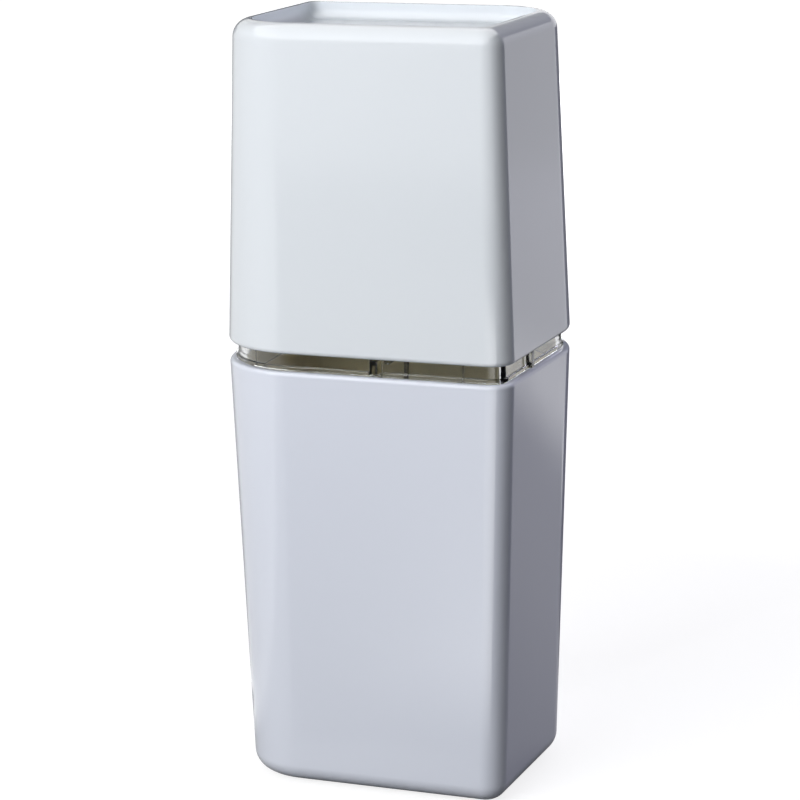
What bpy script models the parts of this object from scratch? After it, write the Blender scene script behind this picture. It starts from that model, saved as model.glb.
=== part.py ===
"""Toothbrush holder: a tall stand, a clear collar with a cross divider, and a tumbler as its cover.

Metres, +Z up, front towards -Y. Seen from above, the case is a rectangle with two wide corners,
front left and back right, and two tight corners, front right and back left. It looks the same
after half a turn, so the tumbler goes on either way round.
"""
from collections import namedtuple
from math import cos, pi, sin

import bmesh
import bpy

MM = 0.001

# Stand: outline at the rim, where it is widest, and at the base
RIM_WIDTH = 83.4 * MM
RIM_DEPTH = 70.2 * MM
RIM_WIDE_R = 23.8 * MM
RIM_TIGHT_R = 6.1 * MM
BASE_WIDTH = 74.2 * MM
BASE_DEPTH = 60.9 * MM
BASE_WIDE_R = 17.2 * MM
BASE_TIGHT_R = 5.8 * MM
STAND_HEIGHT = 112.0 * MM
STAND_WALL = 2.4 * MM
STAND_FLOOR = 2.8 * MM
BASE_FILLET = 4.8 * MM
WELL_FILLET = 2.5 * MM
RIM_ROUND = 1.1 * MM
RIM_INNER_ROUND = 0.3 * MM

# Tumbler: its mouth follows the rim's outline, and its closed end is smaller
MOUTH_OVERHANG = 0.1 * MM
TOP_WIDTH = 77.3 * MM
TOP_DEPTH = 61.7 * MM
TOP_WIDE_R = 19.3 * MM
TOP_TIGHT_R = 5.0 * MM
TUMBLER_HEIGHT = 83.3 * MM
TUMBLER_WALL = 2.0 * MM
TUMBLER_END = 2.2 * MM
TOP_FILLET = 4.5 * MM
CUP_FILLET = 4.0 * MM
LIP_ROUND = 1.2 * MM
LIP_INNER_ROUND = 0.4 * MM

# Recess in the tumbler's closed end, which is its underside when it is used as a cup
FOOT_RING_FLAT = 0.5 * MM
RECESS_DEPTH = 4.4 * MM
RECESS_TIGHT_R = 3.0 * MM
RECESS_FILLET = 2.8 * MM

# Gap between the stand's rim and the tumbler's mouth
VENT_GAP = 4.7 * MM

# Collar: a ring with a flange on the rim, a skirt in the stand and a guide in the tumbler
FLANGE_SET_BACK = 1.6 * MM
FLANGE_THICK = 1.0 * MM
COLLAR_SET_BACK = 2.2 * MM
GUIDE_LEAN = 0.3 * MM
GUIDE_HEIGHT = 5.0 * MM
SKIRT_THICK = 1.4 * MM
SKIRT_DEPTH = 6.0 * MM
SKIRT_CLEARANCE = 0.3 * MM

# Divider: two crossed panels, whose ends stand in the collar's slots
PANEL_THICK = 2.2 * MM
PANEL_DROP = 48.0 * MM
PANEL_RISE = 1.8 * MM
PANEL_CORNER_R = 6.0 * MM
TAB_SET_BACK = 0.9 * MM
TAB_ROOT = 2.6 * MM
SLOT_CLEARANCE = 0.5 * MM
PANEL_CLEARANCE = 0.3 * MM
DEEP_PANEL_X = 5.8 * MM
WIDE_PANEL_Y = -12.0 * MM

# Pads under the base
PAD_R = 4.5 * MM
PAD_PROUD = 0.5 * MM
PAD_POCKET_DEPTH = 0.9 * MM
PAD_POCKET_CLEARANCE = 0.2 * MM
PAD_CORNER_OFFSET = 13.0 * MM
PAD_ROUND = 0.2 * MM

# Gap left between faces that rest on each other
SEAT_GAP = 0.3 * MM

# Smallest corner radius that an inner outline may shrink to
SHARP_R = 0.6 * MM

# Faces in each round stretch
WIDE_CORNER_STEPS = 12
TIGHT_CORNER_STEPS = 6
FILLET_STEPS = 5
SMALL_ROUND_STEPS = 3
PAD_SIDES = 32

# Heights that follow from the sizes above
BASE_Z = PAD_PROUD
RIM_Z = BASE_Z + STAND_HEIGHT
MOUTH_Z = RIM_Z + VENT_GAP
TOP_Z = MOUTH_Z + TUMBLER_HEIGHT
RECESS_Z = TOP_Z - RECESS_DEPTH
CEILING_Z = RECESS_Z - TUMBLER_END

Plan = namedtuple("Plan", "half_width half_depth wide_r tight_r")

RIM_PLAN = Plan(RIM_WIDTH / 2, RIM_DEPTH / 2, RIM_WIDE_R, RIM_TIGHT_R)
BASE_PLAN = Plan(BASE_WIDTH / 2, BASE_DEPTH / 2, BASE_WIDE_R, BASE_TIGHT_R)
TOP_PLAN = Plan(TOP_WIDTH / 2, TOP_DEPTH / 2, TOP_WIDE_R, TOP_TIGHT_R)


def inset(plan, distance):
    """The same outline moved inwards all round; its corners get tighter by as much."""
    return Plan(
        plan.half_width - distance,
        plan.half_depth - distance,
        max(plan.wide_r - distance, SHARP_R),
        max(plan.tight_r - distance, SHARP_R),
    )


def blend(low, high, share):
    """The outline that lies the given share of the way from low to high."""
    return Plan(*(a + (b - a) * share for a, b in zip(low, high)))


MOUTH_PLAN = inset(RIM_PLAN, -MOUTH_OVERHANG)
RECESS_PLAN = inset(TOP_PLAN, TOP_FILLET + FOOT_RING_FLAT)._replace(tight_r=RECESS_TIGHT_R)


def stand_plan(z):
    """Outer outline of the stand at height z."""
    return blend(BASE_PLAN, RIM_PLAN, (z - BASE_Z) / STAND_HEIGHT)


def tumbler_plan(z):
    """Outer outline of the tumbler at height z."""
    return blend(MOUTH_PLAN, TOP_PLAN, (z - MOUTH_Z) / TUMBLER_HEIGHT)


def outline(plan):
    """Points of an outline, anticlockwise from the middle of its right side."""
    corners = (
        (1, 1, 0.0, plan.wide_r, WIDE_CORNER_STEPS),
        (-1, 1, 0.5, plan.tight_r, TIGHT_CORNER_STEPS),
        (-1, -1, 1.0, plan.wide_r, WIDE_CORNER_STEPS),
        (1, -1, 1.5, plan.tight_r, TIGHT_CORNER_STEPS),
    )
    points = []
    for side_x, side_y, start, radius, steps in corners:
        centre_x = side_x * (plan.half_width - radius)
        centre_y = side_y * (plan.half_depth - radius)
        for step in range(steps + 1):
            angle = pi * (start + 0.5 * step / steps)
            points.append((centre_x + radius * cos(angle), centre_y + radius * sin(angle)))
    return points


def upright_to_flat(radius, steps):
    """Points along a quarter round, as (distance from the flat face, distance from the upright)."""
    turns = [pi / 2 * step / steps for step in range(steps + 1)]
    return [(radius * (1 - sin(turn)), radius * (1 - cos(turn))) for turn in turns]


def flat_to_upright(radius, steps):
    """The same points the other way round."""
    return upright_to_flat(radius, steps)[::-1]


def material(name, colour, roughness, transmission=0.0):
    """A plain Principled material."""
    made = bpy.data.materials.new(name)
    made.use_nodes = True
    shader = made.node_tree.nodes["Principled BSDF"]
    shader.inputs["Base Color"].default_value = (*colour, 1.0)
    shader.inputs["Roughness"].default_value = roughness
    shader.inputs["Metallic"].default_value = 0.0
    shader.inputs["Transmission Weight"].default_value = transmission
    made.diffuse_color = (*colour, 1.0)
    return made


def add_object(name, mesh_source, finish, location=(0.0, 0.0, 0.0)):
    """Turn a bmesh into a named object with its own material."""
    bmesh.ops.recalc_face_normals(mesh_source, faces=mesh_source.faces)
    mesh = bpy.data.meshes.new(name)
    mesh_source.to_mesh(mesh)
    mesh_source.free()
    made = bpy.data.objects.new(name, mesh)
    made.location = location
    mesh.materials.append(finish)
    bpy.context.scene.collection.objects.link(made)
    return made


def cut_or_join(target, tool, operation):
    """Apply one hidden tool object to a target with an exact Boolean."""
    tool.hide_render = True
    tool.display_type = "WIRE"
    modifier = target.modifiers.new(tool.name, "BOOLEAN")
    modifier.operation = operation
    modifier.solver = "EXACT"
    modifier.object = tool


def loft(levels, origin_z, ring=False):
    """Skin a list of (outline, height) levels; caps both ends, or joins them into a ring."""
    skin = bmesh.new()
    rows = []
    for plan, z in levels:
        rows.append([skin.verts.new((x, y, z - origin_z)) for x, y in outline(plan)])
    pairs = list(zip(rows, rows[1:]))
    if ring:
        pairs.append((rows[-1], rows[0]))
    else:
        skin.faces.new(rows[0])
        skin.faces.new(rows[-1])
    for lower, upper in pairs:
        count = len(lower)
        for i in range(count):
            j = (i + 1) % count
            skin.faces.new((lower[i], lower[j], upper[j], upper[i]))
    return skin


def cylinder(radius, height, edge_round=0.0):
    """A round bmesh that stands on its origin, with its bottom edge rounded if asked."""
    disc = bmesh.new()
    bmesh.ops.create_cone(
        disc,
        cap_ends=True,
        segments=PAD_SIDES,
        radius1=radius,
        radius2=radius,
        depth=height,
    )
    bmesh.ops.translate(disc, verts=disc.verts, vec=(0.0, 0.0, height / 2))
    if edge_round > 0.0:
        bottom = [edge for edge in disc.edges if all(v.co.z < height / 4 for v in edge.verts)]
        bmesh.ops.bevel(
            disc,
            geom=bottom,
            offset=edge_round,
            segments=2,
            profile=0.5,
            affect="EDGES",
        )
    return disc


def box(low, high):
    """A box bmesh between two corners."""
    block = bmesh.new()
    bmesh.ops.create_cube(block, size=1.0)
    for vert in block.verts:
        for axis in range(3):
            middle = (low[axis] + high[axis]) / 2
            vert.co[axis] = middle + vert.co[axis] * (high[axis] - low[axis])
    return block


def pad_places():
    """Names and centres of the four pads."""
    reach_x = BASE_WIDTH / 2 - PAD_CORNER_OFFSET
    reach_y = BASE_DEPTH / 2 - PAD_CORNER_OFFSET
    places = {}
    for end, side_y in (("front", -1), ("back", 1)):
        for side, side_x in (("left", -1), ("right", 1)):
            places[f"{end}_{side}"] = (side_x * reach_x, side_y * reach_y)
    return places


def make_stand(finish):
    """The tall shell: a rounded base, tapered walls and a rounded rim, hollow from the top."""
    floor_z = BASE_Z + STAND_FLOOR
    levels = []
    for rise, run in flat_to_upright(BASE_FILLET, FILLET_STEPS):
        levels.append((inset(stand_plan(BASE_Z + rise), run), BASE_Z + rise))
    for drop, run in upright_to_flat(RIM_ROUND, SMALL_ROUND_STEPS):
        levels.append((inset(stand_plan(RIM_Z - drop), run), RIM_Z - drop))
    for drop, run in flat_to_upright(RIM_INNER_ROUND, SMALL_ROUND_STEPS):
        levels.append((inset(stand_plan(RIM_Z - drop), STAND_WALL - run), RIM_Z - drop))
    for rise, run in upright_to_flat(WELL_FILLET, FILLET_STEPS):
        levels.append((inset(stand_plan(floor_z + rise), STAND_WALL + run), floor_z + rise))
    stand = add_object("stand_body", loft(levels, 0.0), finish)
    for place, (x, y) in pad_places().items():
        pocket = add_object(
            f"pocket_{place}",
            cylinder(PAD_R + PAD_POCKET_CLEARANCE, 2 * PAD_POCKET_DEPTH),
            finish,
            (x, y, BASE_Z - PAD_POCKET_DEPTH),
        )
        cut_or_join(stand, pocket, "DIFFERENCE")
    return stand


def make_tumbler(finish):
    """The cup, mouth down: rounded lip, tapered walls, and a recess in its closed end."""
    levels = []
    for drop, run in flat_to_upright(CUP_FILLET, FILLET_STEPS):
        z = CEILING_Z - drop
        levels.append((inset(tumbler_plan(z), TUMBLER_WALL + run), z))
    for rise, run in upright_to_flat(LIP_INNER_ROUND, SMALL_ROUND_STEPS):
        z = MOUTH_Z + rise
        levels.append((inset(tumbler_plan(z), TUMBLER_WALL - run), z))
    for rise, run in flat_to_upright(LIP_ROUND, SMALL_ROUND_STEPS):
        levels.append((inset(tumbler_plan(MOUTH_Z + rise), run), MOUTH_Z + rise))
    for drop, run in upright_to_flat(TOP_FILLET, FILLET_STEPS):
        levels.append((inset(tumbler_plan(TOP_Z - drop), run), TOP_Z - drop))
    levels.append((RECESS_PLAN, TOP_Z))
    for rise, run in upright_to_flat(RECESS_FILLET, FILLET_STEPS):
        levels.append((inset(RECESS_PLAN, run), RECESS_Z + rise))
    return add_object("tumbler", loft(levels, MOUTH_Z), finish, (0.0, 0.0, MOUTH_Z))


def make_collar(finish):
    """The clear ring: skirt in the stand, flange on the rim, guide in the tumbler's mouth."""
    skirt_inset = STAND_WALL + SKIRT_CLEARANCE
    inner_inset = skirt_inset + SKIRT_THICK
    skirt_z = RIM_Z - SKIRT_DEPTH
    flange_z = RIM_Z + SEAT_GAP
    wall_z = flange_z + FLANGE_THICK
    guide_z = MOUTH_Z + GUIDE_HEIGHT
    levels = [
        (inset(stand_plan(skirt_z), skirt_inset), skirt_z),
        (inset(RIM_PLAN, skirt_inset), flange_z),
        (inset(RIM_PLAN, FLANGE_SET_BACK), flange_z),
        (inset(RIM_PLAN, FLANGE_SET_BACK), wall_z),
        (inset(RIM_PLAN, COLLAR_SET_BACK), wall_z),
        (inset(RIM_PLAN, COLLAR_SET_BACK + GUIDE_LEAN), guide_z),
        (inset(RIM_PLAN, inner_inset), guide_z),
        (inset(RIM_PLAN, inner_inset), flange_z),
        (inset(stand_plan(skirt_z), inner_inset), skirt_z),
    ]
    collar = add_object("collar", loft(levels, RIM_Z, ring=True), finish, (0.0, 0.0, RIM_Z))
    half_slot = PANEL_THICK / 2 + SLOT_CLEARANCE
    above = guide_z - RIM_Z + GUIDE_HEIGHT
    slots = {
        "slot_front_back": (
            (DEEP_PANEL_X - half_slot, -RIM_DEPTH, 0.0),
            (DEEP_PANEL_X + half_slot, RIM_DEPTH, above),
        ),
        "slot_left_right": (
            (-RIM_WIDTH, WIDE_PANEL_Y - half_slot, 0.0),
            (RIM_WIDTH, WIDE_PANEL_Y + half_slot, above),
        ),
    }
    for name, (low, high) in slots.items():
        slot = add_object(name, box(low, high), finish, (0.0, 0.0, RIM_Z))
        cut_or_join(collar, slot, "DIFFERENCE")
    return collar


def panel_profile(rim_half_span, inner_half_span):
    """Half of a panel's outline from the bottom up, as (distance from the middle, height)."""
    end = inner_half_span - PANEL_CLEARANCE
    tab_end = rim_half_span - TAB_SET_BACK
    tab_top = VENT_GAP - SEAT_GAP
    points = []
    for rise, run in flat_to_upright(PANEL_CORNER_R, FILLET_STEPS):
        points.append((end - run, rise - PANEL_DROP))
    points += [(end, SEAT_GAP), (tab_end, SEAT_GAP), (tab_end, tab_top)]
    for rise, run in upright_to_flat(tab_top - PANEL_RISE, FILLET_STEPS):
        points.append((end - TAB_ROOT - run, PANEL_RISE + rise))
    return points


def panel(half_outline, along_x, middle):
    """Extrude a mirrored panel outline to a plate that crosses the stand."""
    mirrored = [(-distance, z) for distance, z in reversed(half_outline)]
    plate = bmesh.new()
    sides = []
    for shift in (-PANEL_THICK / 2, PANEL_THICK / 2):
        side = []
        for distance, z in half_outline + mirrored:
            place = (distance, middle + shift) if along_x else (middle + shift, distance)
            side.append(plate.verts.new((*place, z)))
        plate.faces.new(side)
        sides.append(side)
    near, far = sides
    for i in range(len(near)):
        j = (i + 1) % len(near)
        plate.faces.new((near[i], near[j], far[j], far[i]))
    return plate


def make_divider(finish):
    """The clear cross: one panel from front to back and one from left to right, joined."""
    place = (0.0, 0.0, RIM_Z)
    skirt = inset(stand_plan(RIM_Z - SKIRT_DEPTH), STAND_WALL + SKIRT_CLEARANCE + SKIRT_THICK)
    well = inset(stand_plan(RIM_Z - PANEL_DROP), STAND_WALL)
    deep_outline = panel_profile(RIM_DEPTH / 2, min(skirt.half_depth, well.half_depth))
    wide_outline = panel_profile(RIM_WIDTH / 2, min(skirt.half_width, well.half_width))
    divider = add_object("divider", panel(deep_outline, False, DEEP_PANEL_X), finish, place)
    crossing = add_object("crossing_panel", panel(wide_outline, True, WIDE_PANEL_Y), finish, place)
    cut_or_join(divider, crossing, "UNION")
    return divider


def make_pads(finish):
    """Four soft pads in the base's pockets."""
    height = PAD_PROUD + PAD_POCKET_DEPTH - SEAT_GAP
    for place, (x, y) in pad_places().items():
        add_object(f"foot_pad_{place}", cylinder(PAD_R, height, PAD_ROUND), finish(place), (x, y, 0.0))


def main():
    """Clear the file and build every piece."""
    for item in list(bpy.data.objects):
        bpy.data.objects.remove(item, do_unlink=True)
    make_stand(material("stand_white", (0.86, 0.88, 0.89), 0.12))
    make_collar(material("collar_clear", (0.86, 0.88, 0.88), 0.05, 0.9))
    make_divider(material("divider_clear", (0.84, 0.87, 0.87), 0.05, 0.9))
    make_tumbler(material("tumbler_white", (0.88, 0.89, 0.90), 0.12))
    make_pads(lambda place: material(f"pad_{place}", (0.72, 0.73, 0.74), 0.6))


main()
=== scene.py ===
# %% [markdown]
# # A toothbrush case with a tumbler for its cover
# The case is four moulded plastic pieces on four small pads. A tall white stand tapers towards its
# base. A clear collar drops into its mouth, and a clear cross divider stands in the collar's slots.
# A white tumbler sits upside down on the divider, and it is the cup that you rinse with.
#
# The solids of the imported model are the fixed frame: they say where each piece is and how it moves.
# They have coarse facets, which a glossy surface shows at once. So this lesson makes each piece again
# with a fine surface, in the same place, and hangs it on the body that carries it.

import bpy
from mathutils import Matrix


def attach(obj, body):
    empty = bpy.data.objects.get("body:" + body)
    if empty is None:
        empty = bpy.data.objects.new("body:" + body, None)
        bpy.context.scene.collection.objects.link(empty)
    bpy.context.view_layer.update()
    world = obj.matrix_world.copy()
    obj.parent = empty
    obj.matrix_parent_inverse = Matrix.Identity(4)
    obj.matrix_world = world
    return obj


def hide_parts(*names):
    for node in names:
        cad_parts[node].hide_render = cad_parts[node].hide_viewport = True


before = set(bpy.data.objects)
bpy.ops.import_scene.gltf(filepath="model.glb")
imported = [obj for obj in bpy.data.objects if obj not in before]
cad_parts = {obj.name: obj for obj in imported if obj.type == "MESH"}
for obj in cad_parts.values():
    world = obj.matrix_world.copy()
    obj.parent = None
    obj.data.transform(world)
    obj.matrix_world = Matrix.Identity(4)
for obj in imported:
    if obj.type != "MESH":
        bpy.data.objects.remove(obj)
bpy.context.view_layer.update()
print("nodes:", ", ".join(sorted(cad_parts)))

# %% [markdown]
# ## Tools for the whole lesson
# Everything is in metres, and the sizes are written in millimetres times MM, as on a drawing.

# %% Imports and the unit
from collections import namedtuple
from math import cos, pi, radians, sin

import bmesh
import bpy
from mathutils import Matrix, Vector

MM = 0.001
print("one millimetre is", MM, "metres")

# %% [markdown]
# ## The outline seen from above
# The case is a rectangle with two wide corners, front left and back right, and two tight ones. An
# outline is four numbers, so the whole shape follows from a few of them: the base, the rim, and the
# tumbler's mouth and closed end. Between two of these the walls run straight.

# %% Outlines
Outline = namedtuple("Outline", "width depth wide_radius tight_radius")

BASE = Outline(74.2 * MM, 60.9 * MM, 17.2 * MM, 5.8 * MM)
RIM = Outline(83.4 * MM, 70.2 * MM, 23.8 * MM, 6.1 * MM)
MOUTH_OVERHANG = 0.1 * MM
MOUTH = Outline(
    RIM.width + 2 * MOUTH_OVERHANG, RIM.depth + 2 * MOUTH_OVERHANG,
    RIM.wide_radius + MOUTH_OVERHANG, RIM.tight_radius + MOUTH_OVERHANG,
)
CLOSED_END = Outline(77.3 * MM, 61.7 * MM, 19.3 * MM, 5.0 * MM)
SHARPEST_RADIUS = 0.6 * MM
print("rim", [round(size / MM, 1) for size in RIM])

# %% Heights
BASE_Z = 0.5 * MM
RIM_Z = BASE_Z + 112.0 * MM
MOUTH_Z = RIM_Z + 4.7 * MM
TOP_Z = MOUTH_Z + 83.3 * MM
print("rim at", round(RIM_Z / MM, 1), "mm, mouth at", round(MOUTH_Z / MM, 1), "mm")

# %% [markdown]
# ## One node tree for every shell
# Stand, tumbler, collar and pads are all the same idea: a profile carried round an outline. A loft
# in Python would do, but Geometry Nodes keep the rule in one place, and the sizes stay named inputs
# that can be changed in the modifier.
#
# The profile is a chain of points. Each point says how far it lies inside the outline (inset), its
# height, the height at which the outline is read (read_at), the smallest corner that it may have
# (least_radius), and whether it gathers to the middle and closes the shell (gather, 0 or 1).

# %% Small helpers for node trees
def add_node(tree, kind, **settings):
    """Add one node and set its options."""
    node = tree.nodes.new(kind)
    for option, value in settings.items():
        setattr(node, option, value)
    return node


def feed(tree, socket, value):
    """Link a socket, or set its number."""
    if isinstance(value, bpy.types.NodeSocket):
        tree.links.new(value, socket)
    else:
        socket.default_value = value


def compute(tree, operation, *values):
    """One math node, and its result."""
    node = add_node(tree, "ShaderNodeMath", operation=operation)
    for socket, value in zip(node.inputs, values):
        feed(tree, socket, value)
    return node.outputs[0]


def read_number(tree, name):
    """A named number that the points of the mesh carry."""
    node = add_node(tree, "GeometryNodeInputNamedAttribute", data_type="FLOAT")
    node.inputs["Name"].default_value = name
    return node.outputs["Attribute"]


print("helpers ready")

# %% Inputs of the shell tree
SHELL_SIZES = (
    "Low Width", "Low Depth", "Low Wide Radius", "Low Tight Radius", "Low Height",
    "High Width", "High Depth", "High Wide Radius", "High Tight Radius", "High Height",
)
POINT_NUMBERS = ("inset", "height", "read_at", "least_radius", "gather")
CORNERS = 4
MERGE_WITHIN = 0.001 * MM


def start_shell_tree():
    """An empty tree with its named inputs and its output."""
    tree = bpy.data.node_groups.new("shell_round_an_outline", "GeometryNodeTree")
    tree.interface.new_socket("Profile", in_out="INPUT", socket_type="NodeSocketGeometry")
    for name in SHELL_SIZES:
        tree.interface.new_socket(name, in_out="INPUT", socket_type="NodeSocketFloat")
    tree.interface.new_socket("Corner Steps", in_out="INPUT", socket_type="NodeSocketInt")
    tree.interface.new_socket("Finish", in_out="INPUT", socket_type="NodeSocketMaterial")
    tree.interface.new_socket("Shell", in_out="OUTPUT", socket_type="NodeSocketGeometry")
    return tree


print(len(SHELL_SIZES), "sizes,", len(POINT_NUMBERS), "numbers on each point")

# %% [markdown]
# The tree sweeps the profile round a plain circle first, only to get a tidy grid of faces. Each
# point then knows its number round the circle (place) and its numbers from the profile, and from
# these its real position follows: which corner it belongs to, how far it has turned round that
# corner, and how large the outline is at its height.

# %% The rule that places each point
def corner_turn(tree, place, steps):
    """For a point's number round the outline: its corner's number and its angle."""
    points = compute(tree, "ADD", steps, 1.0)
    corner = compute(tree, "FLOOR", compute(tree, "DIVIDE", compute(tree, "ADD", place, 0.5), points))
    along = compute(tree, "SUBTRACT", place, compute(tree, "MULTIPLY", corner, points))
    quarter_turns = compute(tree, "ADD", corner, compute(tree, "DIVIDE", along, steps))
    return corner, compute(tree, "MULTIPLY", quarter_turns, pi / 2)


def between(tree, inputs, size, share):
    """One size of the outline, on the way from low to high."""
    low, high = inputs[f"Low {size}"], inputs[f"High {size}"]
    rise = compute(tree, "SUBTRACT", high, low)
    return compute(tree, "ADD", low, compute(tree, "MULTIPLY", rise, share))


def corner_radius(tree, inputs, corner, share, inset):
    """The radius of a point's corner: even corners are wide, odd ones tight."""
    wide = between(tree, inputs, "Wide Radius", share)
    tight = between(tree, inputs, "Tight Radius", share)
    odd = compute(tree, "MODULO", corner, 2.0)
    change = compute(tree, "MULTIPLY", compute(tree, "SUBTRACT", tight, wide), odd)
    radius = compute(tree, "SUBTRACT", compute(tree, "ADD", wide, change), inset)
    return compute(tree, "MAXIMUM", radius, read_number(tree, "least_radius"))


def reach(tree, inputs, size, share, inset, radius, angle, corner, wave):
    """One coordinate: the corner's centre plus the turn round it."""
    whole = between(tree, inputs, size, share)
    half = compute(tree, "SUBTRACT", compute(tree, "MULTIPLY", whole, 0.5), inset)
    middle = compute(tree, "MULTIPLY", compute(tree, "ADD", corner, 0.5), pi / 2)
    side = compute(tree, "SIGN", compute(tree, wave, middle))
    centre = compute(tree, "MULTIPLY", side, compute(tree, "SUBTRACT", half, radius))
    turned = compute(tree, "MULTIPLY", radius, compute(tree, wave, angle))
    return compute(tree, "MULTIPLY", compute(tree, "ADD", centre, turned), read_number(tree, "gather"))


print("the rule is ready")

# %% Build the shell tree
def build_shell_tree():
    """Profile in, closed smooth shell out."""
    tree = start_shell_tree()
    inputs = add_node(tree, "NodeGroupInput").outputs
    steps = inputs["Corner Steps"]
    circle = add_node(tree, "GeometryNodeCurvePrimitiveCircle", mode="RADIUS")
    points_round = compute(tree, "MULTIPLY", compute(tree, "ADD", steps, 1.0), CORNERS)
    feed(tree, circle.inputs["Resolution"], points_round)
    numbered = add_node(tree, "GeometryNodeStoreNamedAttribute", data_type="FLOAT", domain="POINT")
    numbered.inputs["Name"].default_value = "place"
    feed(tree, numbered.inputs["Value"], add_node(tree, "GeometryNodeInputIndex").outputs[0])
    feed(tree, numbered.inputs["Geometry"], circle.outputs["Curve"])
    profile = add_node(tree, "GeometryNodeMeshToCurve")
    feed(tree, profile.inputs["Mesh"], inputs["Profile"])
    sweep = add_node(tree, "GeometryNodeCurveToMesh")
    feed(tree, sweep.inputs["Curve"], numbered.outputs["Geometry"])
    feed(tree, sweep.inputs["Profile Curve"], profile.outputs["Curve"])

    corner, angle = corner_turn(tree, read_number(tree, "place"), steps)
    travel = compute(tree, "SUBTRACT", inputs["High Height"], inputs["Low Height"])
    climbed = compute(tree, "SUBTRACT", read_number(tree, "read_at"), inputs["Low Height"])
    share = compute(tree, "DIVIDE", climbed, travel)
    inset = read_number(tree, "inset")
    radius = corner_radius(tree, inputs, corner, share, inset)
    position = add_node(tree, "ShaderNodeCombineXYZ")
    for axis, size, wave in (("X", "Width", "COSINE"), ("Y", "Depth", "SINE")):
        coordinate = reach(tree, inputs, size, share, inset, radius, angle, corner, wave)
        feed(tree, position.inputs[axis], coordinate)
    feed(tree, position.inputs["Z"], read_number(tree, "height"))

    placed = add_node(tree, "GeometryNodeSetPosition")
    feed(tree, placed.inputs["Geometry"], sweep.outputs["Mesh"])
    feed(tree, placed.inputs["Position"], position.outputs["Vector"])
    closed = add_node(tree, "GeometryNodeMergeByDistance")
    feed(tree, closed.inputs["Geometry"], placed.outputs["Geometry"])
    closed.inputs["Distance"].default_value = MERGE_WITHIN
    smooth = add_node(tree, "GeometryNodeSetShadeSmooth")
    feed(tree, smooth.inputs["Geometry"], closed.outputs["Geometry"])
    real = add_node(tree, "GeometryNodeRealizeInstances")
    feed(tree, real.inputs["Geometry"], smooth.outputs["Geometry"])
    finish = add_node(tree, "GeometryNodeSetMaterial")
    feed(tree, finish.inputs["Geometry"], real.outputs["Geometry"])
    feed(tree, finish.inputs["Material"], inputs["Finish"])
    feed(tree, add_node(tree, "NodeGroupOutput").inputs["Shell"], finish.outputs["Geometry"])
    return tree


SHELL_TREE = build_shell_tree()
print("shell tree:", len(SHELL_TREE.nodes), "nodes")

# %% [markdown]
# ## From a profile to a plain mesh
# The modifier's inputs are set by their identifiers before Blender evaluates the object for the
# first time. The result is then copied to a plain mesh, and the helper object goes.

# %% Turn a chain of points into a shell
Point = namedtuple("Point", "inset height read_at least_radius gather", defaults=(SHARPEST_RADIUS, 1.0))
CORNER_STEPS = 28


def chain_mesh(name, chain, ring):
    """The profile as loose edges, with its numbers on the points."""
    edges = [(i, i + 1) for i in range(len(chain) - 1)]
    if ring:
        edges.append((len(chain) - 1, 0))
    mesh = bpy.data.meshes.new(name)
    mesh.from_pydata([(point.inset, 0.0, point.height) for point in chain], edges, [])
    for number in POINT_NUMBERS:
        layer = mesh.attributes.new(number, "FLOAT", "POINT")
        layer.data.foreach_set("value", [getattr(point, number) for point in chain])
    return mesh


def plain_copy(source, name=None):
    """A plain object from another one as its modifiers leave it; the other one goes."""
    name = name or source.name
    depsgraph = bpy.context.evaluated_depsgraph_get()
    evaluated = source.evaluated_get(depsgraph)
    mesh = bpy.data.meshes.new_from_object(
        evaluated, preserve_all_data_layers=True, depsgraph=depsgraph
    )
    bpy.data.objects.remove(source, do_unlink=True)
    mesh.name = name
    made = bpy.data.objects.new(name, mesh)
    bpy.context.scene.collection.objects.link(made)
    return made


def set_inputs(modifier, values):
    """Set a node tree's inputs by the identifiers of their sockets."""
    for item in modifier.node_group.interface.items_tree:
        if item.in_out == "INPUT" and item.name in values:
            modifier[item.identifier] = values[item.name]


def make_shell(name, chain, low, low_z, high, high_z, finish, ring=False, steps=CORNER_STEPS):
    """Carry a profile round an outline that changes from low to high."""
    holder = bpy.data.objects.new(name + "_profile", chain_mesh(name + "_profile", chain, ring))
    bpy.context.scene.collection.objects.link(holder)
    modifier = holder.modifiers.new("shell", "NODES")
    modifier.node_group = SHELL_TREE
    values = dict(zip(SHELL_SIZES, (*low, low_z, *high, high_z)))
    set_inputs(modifier, {**values, "Corner Steps": steps, "Finish": finish})
    made = plain_copy(holder, name)
    for number in (*POINT_NUMBERS, "place"):
        layer = made.data.attributes.get(number)
        if layer is not None:
            made.data.attributes.remove(layer)
    return face_outwards(made)


def face_outwards(made):
    """Point every face outwards."""
    skin = bmesh.new()
    skin.from_mesh(made.data)
    bmesh.ops.recalc_face_normals(skin, faces=skin.faces)
    skin.to_mesh(made.data)
    skin.free()
    return made


print("ready to make shells")

# %% [markdown]
# A quarter round between a flat face and an upright wall comes up on every rim and base, so it has
# a helper of its own.

# %% Quarter rounds
def quarter(radius, steps):
    """Points from the upright to the flat face, as (distance to the flat face, distance inwards)."""
    turns = [pi / 2 * step / steps for step in range(steps + 1)]
    return [(radius * (1 - sin(turn)), radius * (1 - cos(turn))) for turn in turns]


def wall(low_z, high_z, inset, count):
    """Points up a straight wall, without its ends."""
    heights = [low_z + (high_z - low_z) * step / count for step in range(1, count)]
    return [Point(inset, z, z) for z in heights]


print("a quarter round of 1 mm:", [(round(a, 5), round(b, 5)) for a, b in quarter(MM, 3)])

# %% [markdown]
# ## Finishes
# The white pieces are glossy moulded plastic. A real moulding is never perfectly even: its wall
# shrinks a little as it cools, so reflections wander softly, its skin has a fine orange peel, and
# its gloss differs slightly from place to place. Three noise textures in object space do that. They
# are weak on purpose, because the eye reads them in the reflections and not as a pattern.

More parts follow.
